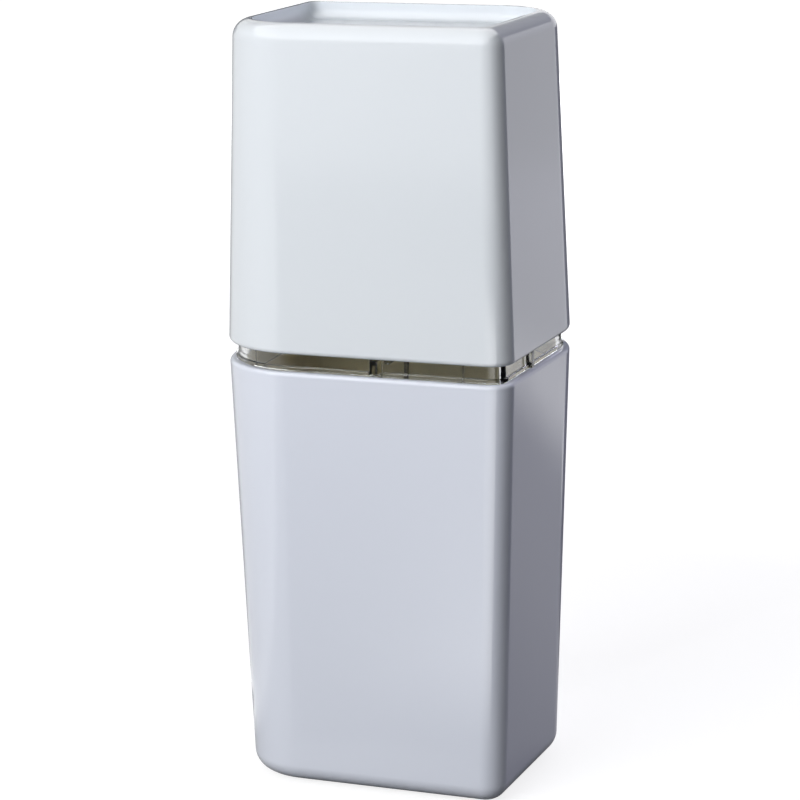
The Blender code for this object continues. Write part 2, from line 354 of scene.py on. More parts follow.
# %% Helpers for materials
NOISE_LOW, NOISE_HIGH = 0.3, 0.7  # nearly all of a noise lies between these


def new_material(name, colour):
    """A Principled material, its tree, its shader and the object coordinates."""
    made = bpy.data.materials.new(name)
    made.use_nodes = True
    made.diffuse_color = (*colour, 1.0)
    tree = made.node_tree
    shader = tree.nodes["Principled BSDF"]
    shader.inputs["Base Color"].default_value = (*colour, 1.0)
    return made, tree, shader, add_node(tree, "ShaderNodeTexCoord").outputs["Object"]


def noise(tree, place, size, detail=2.0):
    """A cloud of values from 0 to 1 whose lumps are about the given size."""
    node = add_node(tree, "ShaderNodeTexNoise")
    feed(tree, node.inputs["Vector"], place)
    node.inputs["Scale"].default_value = 1.0 / size
    node.inputs["Detail"].default_value = detail
    return node.outputs["Fac"]


def rise_with(tree, value, near, far, low, high, way="SMOOTHSTEP"):
    """A number that goes from low to high while the value goes from near to far."""
    node = add_node(tree, "ShaderNodeMapRange", interpolation_type=way)
    feed(tree, node.inputs["Value"], value)
    for socket, number in (("From Min", near), ("From Max", far), ("To Min", low), ("To Max", high)):
        node.inputs[socket].default_value = number
    return node.outputs["Result"]


def spread(tree, value, low, high):
    """Carry the useful part of a noise over to the range from low to high."""
    return rise_with(tree, value, NOISE_LOW, NOISE_HIGH, low, high, way="LINEAR")


def relief(tree, height, depth, under=None):
    """A bump of the given depth in metres, on top of another one."""
    node = add_node(tree, "ShaderNodeBump")
    node.inputs["Distance"].default_value = depth
    feed(tree, node.inputs["Height"], height)
    if under is not None:
        feed(tree, node.inputs["Normal"], under)
    return node.outputs["Normal"]


def tinted(tree, value, low, high):
    """A colour between two near ones."""
    node = add_node(tree, "ShaderNodeMix", data_type="RGBA")
    feed(tree, node.inputs["Factor"], value)
    node.inputs["A"].default_value = (*low, 1.0)
    node.inputs["B"].default_value = (*high, 1.0)
    return node.outputs["Result"]


print("material helpers ready")

# %% Glossy white plastic
WAVE_SIZE = 26.0 * MM
WAVE_DEPTH = 0.012 * MM
PEEL_SIZE = 0.8 * MM
PEEL_DEPTH = 0.0005 * MM
SHADE_SIZE = 60.0 * MM
DARKER, LIGHTER = 0.985, 1.01
GLOSS_PATCH_SIZE = 7.0 * MM
WHITE_IOR = 1.5


def white_plastic(name, colour, gloss):
    """Moulded plastic; gloss is its lowest and highest roughness."""
    made, tree, shader, place = new_material(name, colour)
    low, high = (tuple(min(channel * share, 1.0) for channel in colour) for share in (DARKER, LIGHTER))
    feed(tree, shader.inputs["Base Color"], tinted(tree, noise(tree, place, SHADE_SIZE), low, high))
    patches = noise(tree, place, GLOSS_PATCH_SIZE, detail=4.0)
    feed(tree, shader.inputs["Roughness"], spread(tree, patches, *gloss))
    waves = relief(tree, noise(tree, place, WAVE_SIZE, detail=1.0), WAVE_DEPTH)
    feed(tree, shader.inputs["Normal"], relief(tree, noise(tree, place, PEEL_SIZE), PEEL_DEPTH, waves))
    shader.inputs["IOR"].default_value = WHITE_IOR
    return made


STAND_WHITE = white_plastic("glossy_white_stand", (0.70, 0.735, 0.82), (0.06, 0.10))
TUMBLER_WHITE = white_plastic("glossy_white_tumbler", (0.715, 0.755, 0.795), (0.05, 0.09))
# painted warm light: a yellowish white that stands in for the dim warm light inside the hollows
INSIDE_PAINTED_WARM_LIGHT = white_plastic("warm_white_inside", (0.90, 0.81, 0.52), (0.12, 0.18))
print("whites:", STAND_WHITE.name, TUMBLER_WHITE.name, INSIDE_PAINTED_WARM_LIGHT.name)

# %% [markdown]
# The collar and the divider are clear plastic. It refracts with an index of 1.49, and it swallows a
# little light on the way, so a thin wall looks clear and a long way through an edge looks dark. That
# is what Volume Absorption does, and a plain transparent colour can't.
#
# Cycles can't find the way from a lamp through a refracting wall, so without help everything behind
# clear plastic stays black. Here Alpha drops to almost nothing for shadow rays alone: the lamps
# shine straight through, and what the camera sees still refracts.

# %% Clear plastic
LET_THROUGH = 0.95
CLEAR_IOR = 1.49
CLEAR_GLOSS = (0.02, 0.05)
CLEAR_PATCH_SIZE = 5.0 * MM
FLOW_SIZE = 9.0 * MM
FLOW_DEPTH = 0.01 * MM


def clear_plastic(name, tint, swallow):
    """Clear plastic; swallow is the share of each colour lost in one millimetre."""
    made, tree, shader, place = new_material(name, tint)
    shader.inputs["Transmission Weight"].default_value = 1.0
    shader.inputs["IOR"].default_value = CLEAR_IOR
    patches = noise(tree, place, CLEAR_PATCH_SIZE, detail=3.0)
    feed(tree, shader.inputs["Roughness"], spread(tree, patches, *CLEAR_GLOSS))
    flow = noise(tree, place, FLOW_SIZE, detail=1.0)
    feed(tree, shader.inputs["Normal"], relief(tree, flow, FLOW_DEPTH))
    body = add_node(tree, "ShaderNodeVolumeAbsorption")
    body.inputs["Color"].default_value = (*(1 - share / max(swallow) for share in swallow), 1.0)
    body.inputs["Density"].default_value = max(swallow) / MM
    feed(tree, tree.nodes["Material Output"].inputs["Volume"], body.outputs["Volume"])
    shadow_ray = add_node(tree, "ShaderNodeLightPath").outputs["Is Shadow Ray"]
    stopped = compute(tree, "MULTIPLY", shadow_ray, LET_THROUGH)
    feed(tree, shader.inputs["Alpha"], compute(tree, "SUBTRACT", 1.0, stopped))
    return made


COLLAR_CLEAR = clear_plastic("clear_collar", (0.97, 0.975, 0.975), (0.03, 0.028, 0.03))
DIVIDER_CLEAR = clear_plastic("clear_divider", (0.97, 0.975, 0.97), (0.006, 0.0055, 0.007))
print(COLLAR_CLEAR.name, "and", DIVIDER_CLEAR.name)

# %% [markdown]
# The pads are soft rubber: matt, with a fine grain that holds a little dust. One noise lightens the
# colour where the dust is, one varies the roughness, and a fine one makes the grain.

# %% Soft rubber
DUST_SIZE = 2.0 * MM
DUST_LIGHTER = 1.12
PAD_ROUGHNESS = (0.55, 0.72)
PAD_PATCH_SIZE = 1.0 * MM
GRAIN_SIZE = 0.3 * MM
GRAIN_DEPTH = 0.01 * MM


def soft_pad(name, colour):
    """Matt rubber with a fine grain and a little dust in it."""
    made, tree, shader, place = new_material(name, colour)
    dusty = tuple(min(channel * DUST_LIGHTER, 1.0) for channel in colour)
    dust, patches = noise(tree, place, DUST_SIZE, detail=4.0), noise(tree, place, PAD_PATCH_SIZE)
    feed(tree, shader.inputs["Base Color"], tinted(tree, dust, colour, dusty))
    feed(tree, shader.inputs["Roughness"], spread(tree, patches, *PAD_ROUGHNESS))
    feed(tree, shader.inputs["Normal"], relief(tree, noise(tree, place, GRAIN_SIZE), GRAIN_DEPTH))
    return made


PAD_GREY = soft_pad("soft_grey_pad", (0.52, 0.53, 0.54))
print(PAD_GREY.name)

# %% [markdown]
# ## The stand
# The stand is one deep moulding: a rounded base, walls that widen towards the rim, a rounded rim
# that catches the light as a bright line, and a well for the brushes' handles. The profile runs
# from the middle of the underside, up the outside, over the rim and down to the well's floor.

# %% The stand's profile
STAND_WALL = 2.4 * MM
STAND_FLOOR = 2.8 * MM
BASE_FILLET = 4.8 * MM
WELL_FILLET = 2.5 * MM
RIM_ROUND = 1.1 * MM
RIM_INNER_ROUND = 0.3 * MM
WELL_FLOOR_Z = BASE_Z + STAND_FLOOR
SKIRT_DEPTH = 6.0 * MM
GUIDE_HEIGHT = 5.0 * MM


def stand_chain():
    """Points from the middle of the base to the middle of the well's floor."""
    chain = [Point(BASE_FILLET, BASE_Z, BASE_Z, gather=0.0)]
    base = reversed(quarter(BASE_FILLET, steps=10))
    chain += [Point(run, BASE_Z + rise, BASE_Z + rise) for rise, run in base]
    chain += wall(BASE_Z + BASE_FILLET, RIM_Z - RIM_ROUND, 0.0, count=10)
    chain += [Point(run, RIM_Z - drop, RIM_Z - drop) for drop, run in quarter(RIM_ROUND, steps=8)]
    inner = reversed(quarter(RIM_INNER_ROUND, steps=4))
    chain += [Point(STAND_WALL - run, RIM_Z - drop, RIM_Z - drop) for drop, run in inner]
    chain += wall(RIM_Z - RIM_INNER_ROUND, WELL_FLOOR_Z + WELL_FILLET, STAND_WALL, count=8)
    foot = [(STAND_WALL + run, WELL_FLOOR_Z + rise) for rise, run in quarter(WELL_FILLET, steps=6)]
    chain += [Point(inset, z, z) for inset, z in foot]
    chain.append(Point(foot[-1][0], WELL_FLOOR_Z, WELL_FLOOR_Z, gather=0.0))
    return chain


stand = make_shell("stand_skin", stand_chain(), BASE, BASE_Z, RIM, RIM_Z, STAND_WHITE)
print("stand:", len(stand.data.polygons), "faces")

# %% [markdown]
# Four round pockets in the underside hold the pads. They are cut with an exact Boolean, because
# that keeps the rest of the base as it is.

# %% Pockets under the base
PAD_RADIUS = 4.5 * MM
PAD_CLEARANCE = 0.2 * MM
POCKET_DEPTH = 0.9 * MM
PAD_CORNER_OFFSET = 13.0 * MM
PAD_REACH = (BASE.width / 2 - PAD_CORNER_OFFSET, BASE.depth / 2 - PAD_CORNER_OFFSET)
PAD_PLACES = [(x * PAD_REACH[0], y * PAD_REACH[1]) for y in (-1, 1) for x in (-1, 1)]


def add_plain(name, skin, finish):
    """An object from a bmesh, with its finish."""
    mesh = bpy.data.meshes.new(name)
    skin.to_mesh(mesh)
    skin.free()
    mesh.materials.append(finish)
    made = bpy.data.objects.new(name, mesh)
    bpy.context.scene.collection.objects.link(made)
    return made


def cut(target, tool):
    """Cut a tool out of a piece; returns the cut piece, and the tool goes."""
    modifier = target.modifiers.new("cut", "BOOLEAN")
    modifier.operation = "DIFFERENCE"
    modifier.solver = "EXACT"
    modifier.object = tool
    made = plain_copy(target)
    bpy.data.objects.remove(tool, do_unlink=True)
    return made


pockets = bmesh.new()
for pad_x, pad_y in PAD_PLACES:
    bmesh.ops.create_cone(
        pockets, cap_ends=True, segments=64, depth=2 * POCKET_DEPTH,
        radius1=PAD_RADIUS + PAD_CLEARANCE, radius2=PAD_RADIUS + PAD_CLEARANCE,
        matrix=Matrix.Translation((pad_x, pad_y, BASE_Z)),
    )
stand = cut(stand, add_plain("pocket_tool", pockets, STAND_WHITE))
print("stand with pockets:", len(stand.data.polygons), "faces")

# %% [markdown]
# ## Even shading
# A smooth flat wall next to a small round gets bent shading, because each point's normal is the
# mean of the faces round it. A Weighted Normal modifier lets the large flat faces decide, so the
# walls reflect like walls, and the rounds keep their highlights.

# %% Weighted normals
SHARP_FROM = 40.0
LARGE_FACE_WEIGHT = 90


def even_shading(made, sharp_from=SHARP_FROM):
    """Smooth shading that follows the large faces; edges from an angle in degrees stay sharp."""
    made.data.shade_smooth()
    made.data.set_sharp_from_angle(angle=radians(sharp_from))
    modifier = made.modifiers.new("even", "WEIGHTED_NORMAL")
    modifier.keep_sharp = True
    modifier.weight = LARGE_FACE_WEIGHT
    return plain_copy(made)


stand = even_shading(stand)
print("stand shaded:", stand.name)

# %% [markdown]
# Light inside the well is dim and warm, and here that light is painted into the colour: the faces
# that look inwards get a yellowish white, a painted warm light. Which ones they are follows from a
# rule: the face lies between the closed end and the collar, and it looks towards the axis.

# %% Painted warm light inside
AT_END_WITHIN = 0.1 * MM
FACES_ALONG = 0.5


def paint_inside(piece, closed_z, open_z):
    """Give the inward faces of a hollow the painted warm light, from its closed end to its open one."""
    piece.data.materials.append(INSIDE_PAINTED_WARM_LIGHT)
    towards_open = 1 if open_z > closed_z else -1
    painted = 0
    for face in piece.data.polygons:
        x, y, z = face.center
        inwards = -(x * face.normal.x + y * face.normal.y) > 0.0
        at_end = abs(z - closed_z) < AT_END_WITHIN and face.normal.z * towards_open > FACES_ALONG
        if at_end or (inwards and min(closed_z, open_z) < z < max(closed_z, open_z)):
            face.material_index = 1
            painted += 1
    return painted


print("painted", paint_inside(stand, WELL_FLOOR_Z, RIM_Z - SKIRT_DEPTH), "faces of the well")

# %% [markdown]
# ## The tumbler
# The tumbler sits mouth down. Its outer wall goes on where the stand's ends, so its mouth has the
# rim's outline, and it narrows towards the closed end. That end has a shallow recess inside a thin
# foot ring, on which it stands when it is a cup.

# %% The tumbler's profile
TUMBLER_WALL = 2.0 * MM
TUMBLER_END = 2.2 * MM
TOP_FILLET = 4.5 * MM
CUP_FILLET = 4.0 * MM
LIP_ROUND = 1.2 * MM
LIP_INNER_ROUND = 0.4 * MM
FOOT_RING_FLAT = 0.5 * MM
RECESS_DEPTH = 4.4 * MM
RECESS_TIGHT_RADIUS = 3.0 * MM
RECESS_FILLET = 2.8 * MM
RECESS_Z = TOP_Z - RECESS_DEPTH
CEILING_Z = RECESS_Z - TUMBLER_END


def recess_point(run, z, gather=1.0):
    """A point of the recess, whose wall is upright and whose tight corners are its own."""
    inset = TOP_FILLET + FOOT_RING_FLAT + run
    return Point(inset, z, TOP_Z, max(RECESS_TIGHT_RADIUS - run, SHARPEST_RADIUS), gather)


def tumbler_chain():
    """Points from the middle of the cup's inside, round the lip, to the middle of the recess."""
    ceiling = reversed(quarter(CUP_FILLET, steps=8))
    inside = [(TUMBLER_WALL + run, CEILING_Z - drop) for drop, run in ceiling]
    chain = [Point(inside[0][0], CEILING_Z, CEILING_Z, gather=0.0)]
    chain += [Point(inset, z, z) for inset, z in inside]
    chain += wall(CEILING_Z - CUP_FILLET, MOUTH_Z + LIP_INNER_ROUND, TUMBLER_WALL, count=8)
    lip = [(TUMBLER_WALL - run, MOUTH_Z + rise) for rise, run in quarter(LIP_INNER_ROUND, steps=4)]
    lip += [(run, MOUTH_Z + rise) for rise, run in reversed(quarter(LIP_ROUND, steps=8))]
    chain += [Point(inset, z, z) for inset, z in lip]
    chain += wall(MOUTH_Z + LIP_ROUND, TOP_Z - TOP_FILLET, 0.0, count=10)
    chain += [Point(run, TOP_Z - drop, TOP_Z - drop) for drop, run in quarter(TOP_FILLET, steps=14)]
    chain.append(recess_point(0.0, TOP_Z))
    chain += [recess_point(run, RECESS_Z + rise) for rise, run in quarter(RECESS_FILLET, steps=10)]
    chain.append(recess_point(RECESS_FILLET, RECESS_Z, gather=0.0))
    return chain


tumbler = make_shell("tumbler_skin", tumbler_chain(), MOUTH, MOUTH_Z, CLOSED_END, TOP_Z, TUMBLER_WHITE)
tumbler = even_shading(tumbler)
# the tumbler's inside gets the same painted warm light
painted = paint_inside(tumbler, CEILING_Z, MOUTH_Z + GUIDE_HEIGHT)
print("tumbler:", len(tumbler.data.polygons), "faces,", painted, "of them painted inside")

# %% [markdown]
# ## The collar
# The collar is a clear ring. Its skirt hangs in the stand, its flange lies on the rim, and its
# guide reaches into the tumbler's mouth. Its profile is a closed chain, and the slots for the
# divider's ends are cut through it from the rim upwards. Every edge gets a tiny round, because the
# bright and dark lines that make clear plastic look clear come from its edges.

# %% The collar's ring
SEAT_GAP = 0.3 * MM
SKIRT_CLEARANCE = 0.3 * MM
COLLAR_WALL = 1.4 * MM
FLANGE_THICK = 1.0 * MM
SKIRT_INSET = STAND_WALL + SKIRT_CLEARANCE
COLLAR_INNER_INSET = SKIRT_INSET + COLLAR_WALL
FLANGE_INSET = 1.6 * MM
GUIDE_INSET = 2.2 * MM
GUIDE_LEAN = 0.3 * MM
SKIRT_Z = RIM_Z - SKIRT_DEPTH
FLANGE_Z = RIM_Z + SEAT_GAP
FLANGE_TOP_Z = FLANGE_Z + FLANGE_THICK
GUIDE_Z = MOUTH_Z + GUIDE_HEIGHT
COLLAR_CHAIN = [
    Point(SKIRT_INSET, SKIRT_Z, SKIRT_Z),
    Point(SKIRT_INSET, FLANGE_Z, RIM_Z),
    Point(FLANGE_INSET, FLANGE_Z, RIM_Z),
    Point(FLANGE_INSET, FLANGE_TOP_Z, RIM_Z),
    Point(GUIDE_INSET, FLANGE_TOP_Z, RIM_Z),
    Point(GUIDE_INSET + GUIDE_LEAN, GUIDE_Z, RIM_Z),
    Point(COLLAR_INNER_INSET, GUIDE_Z, RIM_Z),
    Point(COLLAR_INNER_INSET, FLANGE_Z, RIM_Z),
    Point(COLLAR_INNER_INSET, SKIRT_Z, SKIRT_Z),
]
collar = make_shell(
    "collar_skin", COLLAR_CHAIN, BASE, BASE_Z, RIM, RIM_Z, COLLAR_CLEAR, ring=True, steps=20
)
print("collar:", len(collar.data.polygons), "faces")

# %% The collar's slots
PANEL_THICK = 2.2 * MM
SLOT_CLEARANCE = 0.5 * MM
DEEP_PANEL_X = 5.8 * MM
WIDE_PANEL_Y = -12.0 * MM
COLLAR_EDGE_ROUND = 0.12 * MM
ROUND_FROM = 35.0
CLEAR_SHARP_FROM = 60.0


def block(skin, low, high):
    """A box between two corners."""
    made = bmesh.ops.create_cube(skin, size=1.0)
    for vert in made["verts"]:
        for axis in range(3):
            middle = (low[axis] + high[axis]) / 2
            vert.co[axis] = middle + vert.co[axis] * (high[axis] - low[axis])


def soften_edges(made, width):
    """A tiny round on each sharp edge, then even shading."""
    modifier = made.modifiers.new("edges", "BEVEL")
    modifier.width = width
    modifier.segments = 2
    modifier.limit_method = "ANGLE"
    modifier.angle_limit = radians(ROUND_FROM)
    modifier.miter_outer = "MITER_ARC"
    return even_shading(plain_copy(made), CLEAR_SHARP_FROM)


half_slot = PANEL_THICK / 2 + SLOT_CLEARANCE
for low, high in (
    ((DEEP_PANEL_X - half_slot, -RIM.depth, RIM_Z), (DEEP_PANEL_X + half_slot, RIM.depth, TOP_Z)),
    ((-RIM.width, WIDE_PANEL_Y - half_slot, RIM_Z), (RIM.width, WIDE_PANEL_Y + half_slot, TOP_Z)),
):
    slot = bmesh.new()
    block(slot, low, high)
    collar = cut(collar, add_plain("slot_tool", slot, COLLAR_CLEAR))
collar = soften_edges(collar, COLLAR_EDGE_ROUND)
print("collar with slots:", len(collar.data.polygons), "faces")

# %% [markdown]
# ## The divider
# Two panels cross: one runs from front to back, and one from left to right. Their ends step out as
# tabs, which stand in the collar's slots, show as the ribs in the gap, and carry the tumbler's lip.

# %% The panels' shape
PANEL_DROP = 48.0 * MM
PANEL_RISE = 1.8 * MM
PANEL_CORNER = 6.0 * MM
PANEL_CLEARANCE = 0.3 * MM
TAB_SET_BACK = 0.9 * MM
TAB_ROOT = 2.6 * MM
TAB_TOP = MOUTH_Z - RIM_Z - SEAT_GAP
DIVIDER_EDGE_ROUND = 0.18 * MM


def half_size(size, z, inset):
    """Half the stand's width or depth at a height, less an inset."""
    share = (z - BASE_Z) / (RIM_Z - BASE_Z)
    return (getattr(BASE, size) + (getattr(RIM, size) - getattr(BASE, size)) * share) / 2 - inset


def panel_outline(size):
    """Half of a panel's outline, as (distance from the middle, height)."""
    skirt = half_size(size, SKIRT_Z, COLLAR_INNER_INSET)
    well = half_size(size, RIM_Z - PANEL_DROP, STAND_WALL)
    end = min(skirt, well) - PANEL_CLEARANCE
    tab = getattr(RIM, size) / 2 - TAB_SET_BACK
    points = [(end - run, rise - PANEL_DROP) for rise, run in reversed(quarter(PANEL_CORNER, steps=12))]
    points += [(end, SEAT_GAP), (tab, SEAT_GAP), (tab, TAB_TOP)]
    root = quarter(TAB_TOP - PANEL_RISE, steps=10)
    points += [(end - TAB_ROOT - run, PANEL_RISE + rise) for rise, run in root]
    return points


def add_panel(size, along_x, middle):
    """A panel as an object of its own."""
    half = panel_outline(size)
    whole = half + [(-distance, z) for distance, z in reversed(half)]
    skin = bmesh.new()
    sides = []
    for shift in (-PANEL_THICK / 2, PANEL_THICK / 2):
        flat = [(d, middle + shift) if along_x else (middle + shift, d) for d, _ in whole]
        sides.append([skin.verts.new((x, y, RIM_Z + z)) for (x, y), (_, z) in zip(flat, whole)])
    skin.faces.new(sides[0])
    skin.faces.new(sides[1])
    for i, near in enumerate(sides[0]):
        j = (i + 1) % len(whole)
        skin.faces.new((near, sides[0][j], sides[1][j], sides[1][i]))
    bmesh.ops.recalc_face_normals(skin, faces=skin.faces)
    return add_plain("divider_panel", skin, DIVIDER_CLEAR)


divider = add_panel("depth", False, DEEP_PANEL_X)
divider.name = "divider_skin"
crossing = add_panel("width", True, WIDE_PANEL_Y)
joiner = divider.modifiers.new("join", "BOOLEAN")
joiner.operation = "UNION"
joiner.solver = "EXACT"
joiner.object = crossing
divider = plain_copy(divider)
bpy.data.objects.remove(crossing, do_unlink=True)
divider = soften_edges(divider, DIVIDER_EDGE_ROUND)
print("divider:", len(divider.data.polygons), "faces")

# %% [markdown]
# ## The pads
# The four pads are alike, so one pad is made with the shell tree, and a second small tree sets a
# copy of it at each of four points. A circle is just an outline whose corners meet.

# %% One pad
PAD_TOP_Z = BASE_Z + POCKET_DEPTH - SEAT_GAP
PAD_ROUND = 0.2 * MM
PAD_OUTLINE = Outline(2 * PAD_RADIUS, 2 * PAD_RADIUS, PAD_RADIUS, PAD_RADIUS)
pad_chain = [Point(PAD_ROUND, 0.0, 0.0, gather=0.0)]
pad_chain += [Point(run, rise, 0.0) for rise, run in reversed(quarter(PAD_ROUND, steps=4))]
pad_chain += [Point(0.0, PAD_TOP_Z, 0.0), Point(0.0, PAD_TOP_Z, 0.0, gather=0.0)]
one_pad = make_shell(
    "one_pad", pad_chain, PAD_OUTLINE, 0.0, PAD_OUTLINE, PAD_TOP_Z, PAD_GREY, steps=14
)
print("one pad:", len(one_pad.data.polygons), "faces")

# %% A copy at each place
def build_copies_tree():
    """Points in, one copy of an object at each."""
    tree = bpy.data.node_groups.new("copies_at_points", "GeometryNodeTree")
    tree.interface.new_socket("Places", in_out="INPUT", socket_type="NodeSocketGeometry")
    tree.interface.new_socket("Copied Object", in_out="INPUT", socket_type="NodeSocketObject")
    tree.interface.new_socket("Finish", in_out="INPUT", socket_type="NodeSocketMaterial")
    tree.interface.new_socket("Copies", in_out="OUTPUT", socket_type="NodeSocketGeometry")
    inputs = add_node(tree, "NodeGroupInput").outputs
    copied = add_node(tree, "GeometryNodeObjectInfo", transform_space="ORIGINAL")
    feed(tree, copied.inputs["Object"], inputs["Copied Object"])
    spots = add_node(tree, "GeometryNodeInstanceOnPoints")
    feed(tree, spots.inputs["Points"], inputs["Places"])
    feed(tree, spots.inputs["Instance"], copied.outputs["Geometry"])
    real = add_node(tree, "GeometryNodeRealizeInstances")
    feed(tree, real.inputs["Geometry"], spots.outputs["Instances"])
    finish = add_node(tree, "GeometryNodeSetMaterial")
    feed(tree, finish.inputs["Geometry"], real.outputs["Geometry"])
    feed(tree, finish.inputs["Material"], inputs["Finish"])
    feed(tree, add_node(tree, "NodeGroupOutput").inputs["Copies"], finish.outputs["Geometry"])
    return tree


spots_mesh = bpy.data.meshes.new("pad_places")
spots_mesh.from_pydata([(x, y, 0.0) for x, y in PAD_PLACES], [], [])
pads = bpy.data.objects.new("pads_skin", spots_mesh)
bpy.context.scene.collection.objects.link(pads)
copies = pads.modifiers.new("copies", "NODES")
copies.node_group = build_copies_tree()
set_inputs(copies, {"Copied Object": one_pad, "Finish": PAD_GREY})
pads = even_shading(face_outwards(plain_copy(pads)))
bpy.data.objects.remove(one_pad, do_unlink=True)
print("pads:", len(pads.data.polygons), "faces")

# %% [markdown]
# ## Hang each piece on its body
# Each fine skin rides on the body that carries its solid, and replaces that solid in the picture.
# The solids stay in the physics model.

# %% Bodies, solids and finishes
PAD_NODES = [name for name in sorted(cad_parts) if name.startswith("foot_pad")]
for piece, body, solids, finish_slot in (
    (stand, "stand", ["stand_body"], "stand_white"),
    (pads, "stand", PAD_NODES, "pad_grey"),
    (collar, "collar", ["collar"], "collar_clear"),
    (divider, "divider", ["divider"], "divider_clear"),
    (tumbler, "tumbler", ["tumbler"], "tumbler_white"),
):
    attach(piece, body)
    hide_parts(*solids)
    print(piece.name, "rides on", body, "and stands for", ", ".join(solids))

# %% [markdown]
# ## Floor and background
# The object stands on white paper in front of white. A floor that is really white would also light
# the object from below, and the inside of the gap with it. Light Path tells the rays apart. The
# camera, and a look through clear plastic, find a pale floor with a glow that makes it white, and
# the object's shadow still darkens it. The light that bounces on to the object comes from a dark
# floor, as in a studio where only the paper right behind the object is white.
#
# Gloss finds a floor of its own too. The photograph's reflections say what stood around the case:
# dark in front and under it, grey beside it, and bright behind it on the left. So the glow for gloss
# rises from the front right to the back left. One spot in front stays dark for clear plastic as
# well, because the collar's inner face mirrors it over the windows.

# %% Which rays see the background
def rays_seen(tree):
    """0 or 1 for each kind of ray: from the camera, through clear plastic, and off a glossy face."""
    path = add_node(tree, "ShaderNodeLightPath")
    through = path.outputs["Is Transmission Ray"]
    reflected = compute(tree, "SUBTRACT", path.outputs["Is Glossy Ray"], through)
    return path.outputs["Is Camera Ray"], through, compute(tree, "MAXIMUM", reflected, 0.0)


def measure(tree, operation, place, other=(0.0, 0.0, 0.0)):
    """A place's distance from the origin or another place, or how far it lies along a direction."""
    node = add_node(tree, "ShaderNodeVectorMath", operation=operation)
    feed(tree, node.inputs[0], place)
    node.inputs[1].default_value = other
    return node.outputs["Value"]


print("helpers for light paths ready")

# %% The floor's paper, and where each point of it lies
WHITE = (1.0, 1.0, 1.0, 1.0)
SEEN_COLOUR = (0.30, 0.30, 0.305)
BOUNCE_COLOUR = (0.09, 0.09, 0.095)
BACK_LEFT = (-0.85, 0.53, 0.0)
WINDOW_SPOT = (-0.2, -0.55, 0.0)
floor_paper, floor_tree, floor_shader, floor_place = new_material("floor_paper", SEEN_COLOUR)
floor_shader.inputs["Roughness"].default_value = 0.9
floor_shader.inputs["Specular IOR Level"].default_value = 0.1
floor_shader.inputs["Emission Color"].default_value = WHITE
from_object = measure(floor_tree, "LENGTH", floor_place)
behind = measure(floor_tree, "DOT_PRODUCT", floor_place, BACK_LEFT)
from_window_spot = measure(floor_tree, "DISTANCE", floor_place, WINDOW_SPOT)
print("paper:", floor_paper.name)

# %% What the camera and clear plastic see of the floor
SPOT_EDGE = (0.28, 0.4, 0.0, 1.0)  # a rise is: near, far, its value near, its value far
PAPER_RISE = (0.3, 1.6, 0.80, 1.0)
by_camera, by_clear, by_gloss = rays_seen(floor_tree)
off_spot = rise_with(floor_tree, from_window_spot, *SPOT_EDGE)
through_clear = compute(floor_tree, "MULTIPLY", by_clear, off_spot)
seen_straight = compute(floor_tree, "ADD", by_camera, through_clear)
floor_colour = tinted(floor_tree, seen_straight, BOUNCE_COLOUR, SEEN_COLOUR)
feed(floor_tree, floor_shader.inputs["Base Color"], floor_colour)
paper_rise = rise_with(floor_tree, from_object, *PAPER_RISE)
camera_glow = compute(floor_tree, "MULTIPLY", seen_straight, paper_rise)
print("the paper glows by", PAPER_RISE[2], "near the object and", PAPER_RISE[3], "far off")

# %% What gloss sees of the floor
NEAR_RISE = (-0.08, 0.02, 0.05, 0.38)
FAR_START = (0.04, 0.07, 0.0, 1.0)
FAR_RISE = (0.07, 0.115, 0.87, 0.57)
BESIDE_RISE = (0.03, 0.05, 0.0, 1.0)
near_glow = rise_with(floor_tree, behind, *NEAR_RISE)
far_start = rise_with(floor_tree, behind, *FAR_START)
far_glow = compute(floor_tree, "MULTIPLY", far_start, rise_with(floor_tree, behind, *FAR_RISE))
beside = rise_with(floor_tree, from_object, *BESIDE_RISE)
both_glows = compute(floor_tree, "ADD", near_glow, far_glow)
floor_in_gloss = compute(floor_tree, "MULTIPLY", beside, both_glows)
gloss_glow = compute(floor_tree, "MULTIPLY", by_gloss, floor_in_gloss)
floor_glow = compute(floor_tree, "ADD", camera_glow, gloss_glow)
feed(floor_tree, floor_shader.inputs["Emission Strength"], floor_glow)
print("gloss sees a glow of", NEAR_RISE[2], "in front and", FAR_RISE[2], "behind on the left")

# %% The floor itself
FLOOR_RADIUS = 3.0
floor_skin = bmesh.new()
bmesh.ops.create_circle(floor_skin, cap_ends=True, segments=96, radius=FLOOR_RADIUS)
floor = add_plain("floor", floor_skin, floor_paper)
print("floor:", 2 * FLOOR_RADIUS, "metres across")

# %% [markdown]
# The world is white in the same way: whoever looks at it finds white, and it lights the object with
# only a tenth of that, which keeps the sides of the case darker than its front.

# %% World
AMBIENT = 0.095
world = bpy.data.worlds.new("white_room")
bpy.context.scene.world = world
world.use_nodes = True
world_tree = world.node_tree
background = world_tree.nodes["Background"]
background.inputs["Color"].default_value = WHITE
seen = 0.0
for kind_of_ray in rays_seen(world_tree):
    seen = compute(world_tree, "MAXIMUM", seen, kind_of_ray)
extra = compute(world_tree, "MULTIPLY", seen, 1.0 - AMBIENT)
feed(world_tree, background.inputs["Strength"], compute(world_tree, "ADD", extra, AMBIENT))
print("the world is white to look at, and lights the object with", AMBIENT)

# %% [markdown]
# ## Cards and a board
# White walls in a white room have no edges: the corners vanish. A photographer stands black cards
# beside and behind the object for this, out of the picture. Here they are curved strips that only
# gloss sees. The one on the right draws the dark band down the tight corner, the ones behind draw
# the thin dark line along the outline, and a grey one high up shades the rounded top on the right.
# Behind on the left they are paler, because the line along that side is faint.
#
# In front lies a white board that grows brighter towards the right. It shows in the round of the
# tight corner, just before the dark band, and makes the front a little brighter on that side.

